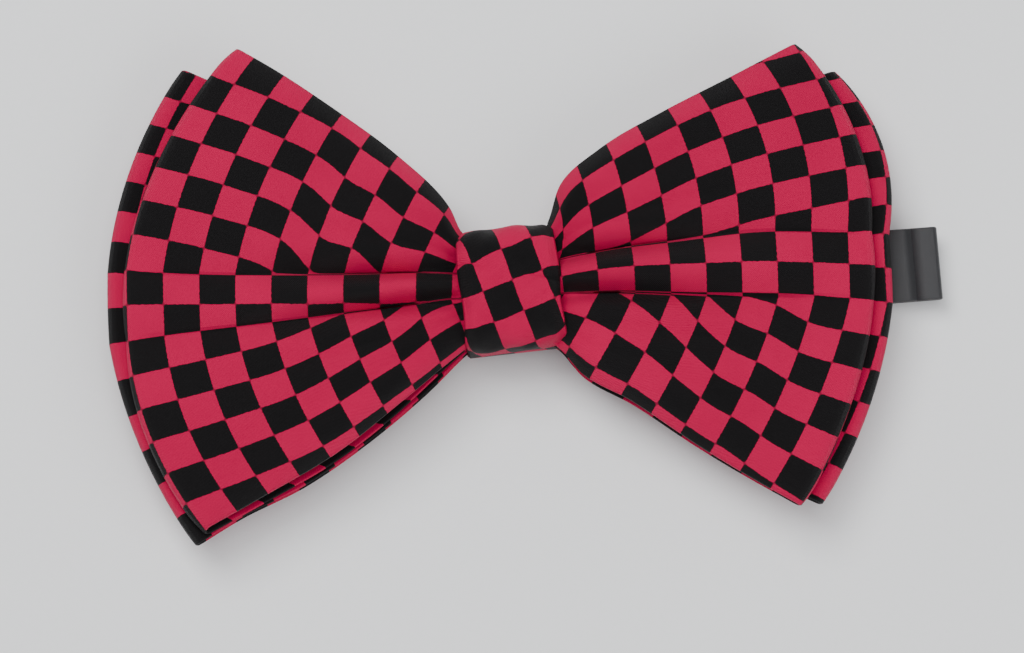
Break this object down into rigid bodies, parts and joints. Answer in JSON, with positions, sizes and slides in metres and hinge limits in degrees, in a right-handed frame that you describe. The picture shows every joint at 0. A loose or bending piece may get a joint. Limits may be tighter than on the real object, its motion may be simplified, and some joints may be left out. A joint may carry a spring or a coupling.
{
  "type": "bow tie",
  "caption": "Pre-tied, banded bow tie in crimson and black check satin: two stacked bows gathered by a wrapped knot, on a folded adjustable neck band with a hook and ring.",
  "frame": {"origin": "middle of the flat back of the knot", "axes": "+X along the bow towards the end where the band's fold peeks out, +Y to the bow's upper edge, +Z out of the front of the bow. It lies on its back on its folded neck band."},
  "size_m": [0.1358, 0.0812, 0.0178],
  "materials": {
    "check_satin": "woven satin with crimson and black squares of about 5.9 mm, soft sheen",
    "interlining": "matte non-woven stiffener",
    "thread": "black polyester sewing thread",
    "band_satin": "plain black satin ribbon",
    "nickel": "polished nickel plate on stamped steel"
  },
  "bodies": {
    "bow": {"front_bow": "check_satin", "front_bow_interlining": "interlining", "back_bow": "check_satin", "back_bow_interlining": "interlining", "knot_wrap": "check_satin", "knot_interlining": "interlining", "gather_thread": "thread", "band_anchor": "band_satin", "anchor_tack_left": "thread", "anchor_tack_right": "thread"},
    "right_strap_inner": {"right_band_inner": "band_satin"},
    "right_strap_middle": {"right_band_middle": "band_satin"},
    "right_strap_outer": {"right_band_outer": "band_satin"},
    "adjuster": {"slide_adjuster": "nickel", "adjuster_bartack": "thread"},
    "hook_end": {"band_return": "band_satin"},
    "hook": {"hook": "nickel"},
    "left_strap": {"left_band": "band_satin", "ring_tab": "band_satin", "ring_bartack": "thread"},
    "ring": {"ring": "nickel"}
  },
  "joints": [
    {"name": "right_root", "type": "hinge", "parent": "bow", "child": "right_strap_inner", "pos_m": [0.00842, 0.00068, 0.0014], "axis": [-0.0802, 0.9968, 0], "range_deg": [0, 90]},
    {"name": "near_fold", "type": "hinge", "parent": "right_strap_inner", "child": "right_strap_middle", "pos_m": [0.06977, 0.00561, -0.00015], "axis": [0.0802, -0.9968, 0], "range_deg": [0, 180]},
    {"name": "far_fold", "type": "hinge", "parent": "right_strap_middle", "child": "right_strap_outer", "pos_m": [-0.05981, -0.00481, -0.00105], "axis": [-0.0802, 0.9968, 0], "range_deg": [0, 180]},
    {"name": "adjuster_slide", "type": "slide", "parent": "right_strap_outer", "child": "adjuster", "axis": [0.9968, 0.0802, 0], "range_m": [0, 0.05]},
    {"name": "hook_end_slide", "type": "slide", "parent": "right_strap_outer", "child": "hook_end", "axis": [0.9968, 0.0802, 0], "range_m": [0, 0.025]},
    {"name": "hook_pivot", "type": "hinge", "parent": "hook_end", "child": "hook", "pos_m": [0.04585, 0.00369, -0.0025], "axis": [-0.0802, 0.9968, 0], "range_deg": [0, 90]},
    {"name": "left_root", "type": "hinge", "parent": "bow", "child": "left_strap", "pos_m": [-0.01085, -0.00087, 0.0014], "axis": [-0.3007, -0.9537, 0], "range_deg": [0, 90]},
    {"name": "ring_pivot", "type": "hinge", "parent": "left_strap", "child": "ring", "pos_m": [-0.04709, 0.01055, 0.0013], "axis": [-0.3007, -0.9537, 0], "range_deg": [0, 90]}
  ],
  "couplings": [
    {"joint": "near_fold", "follows": "right_root", "ratio": 2},
    {"joint": "far_fold", "follows": "right_root", "ratio": 2},
    {"joint": "left_root", "follows": "right_root", "ratio": 1},
    {"joint": "hook_end_slide", "follows": "adjuster_slide", "ratio": 0.5}
  ]
}
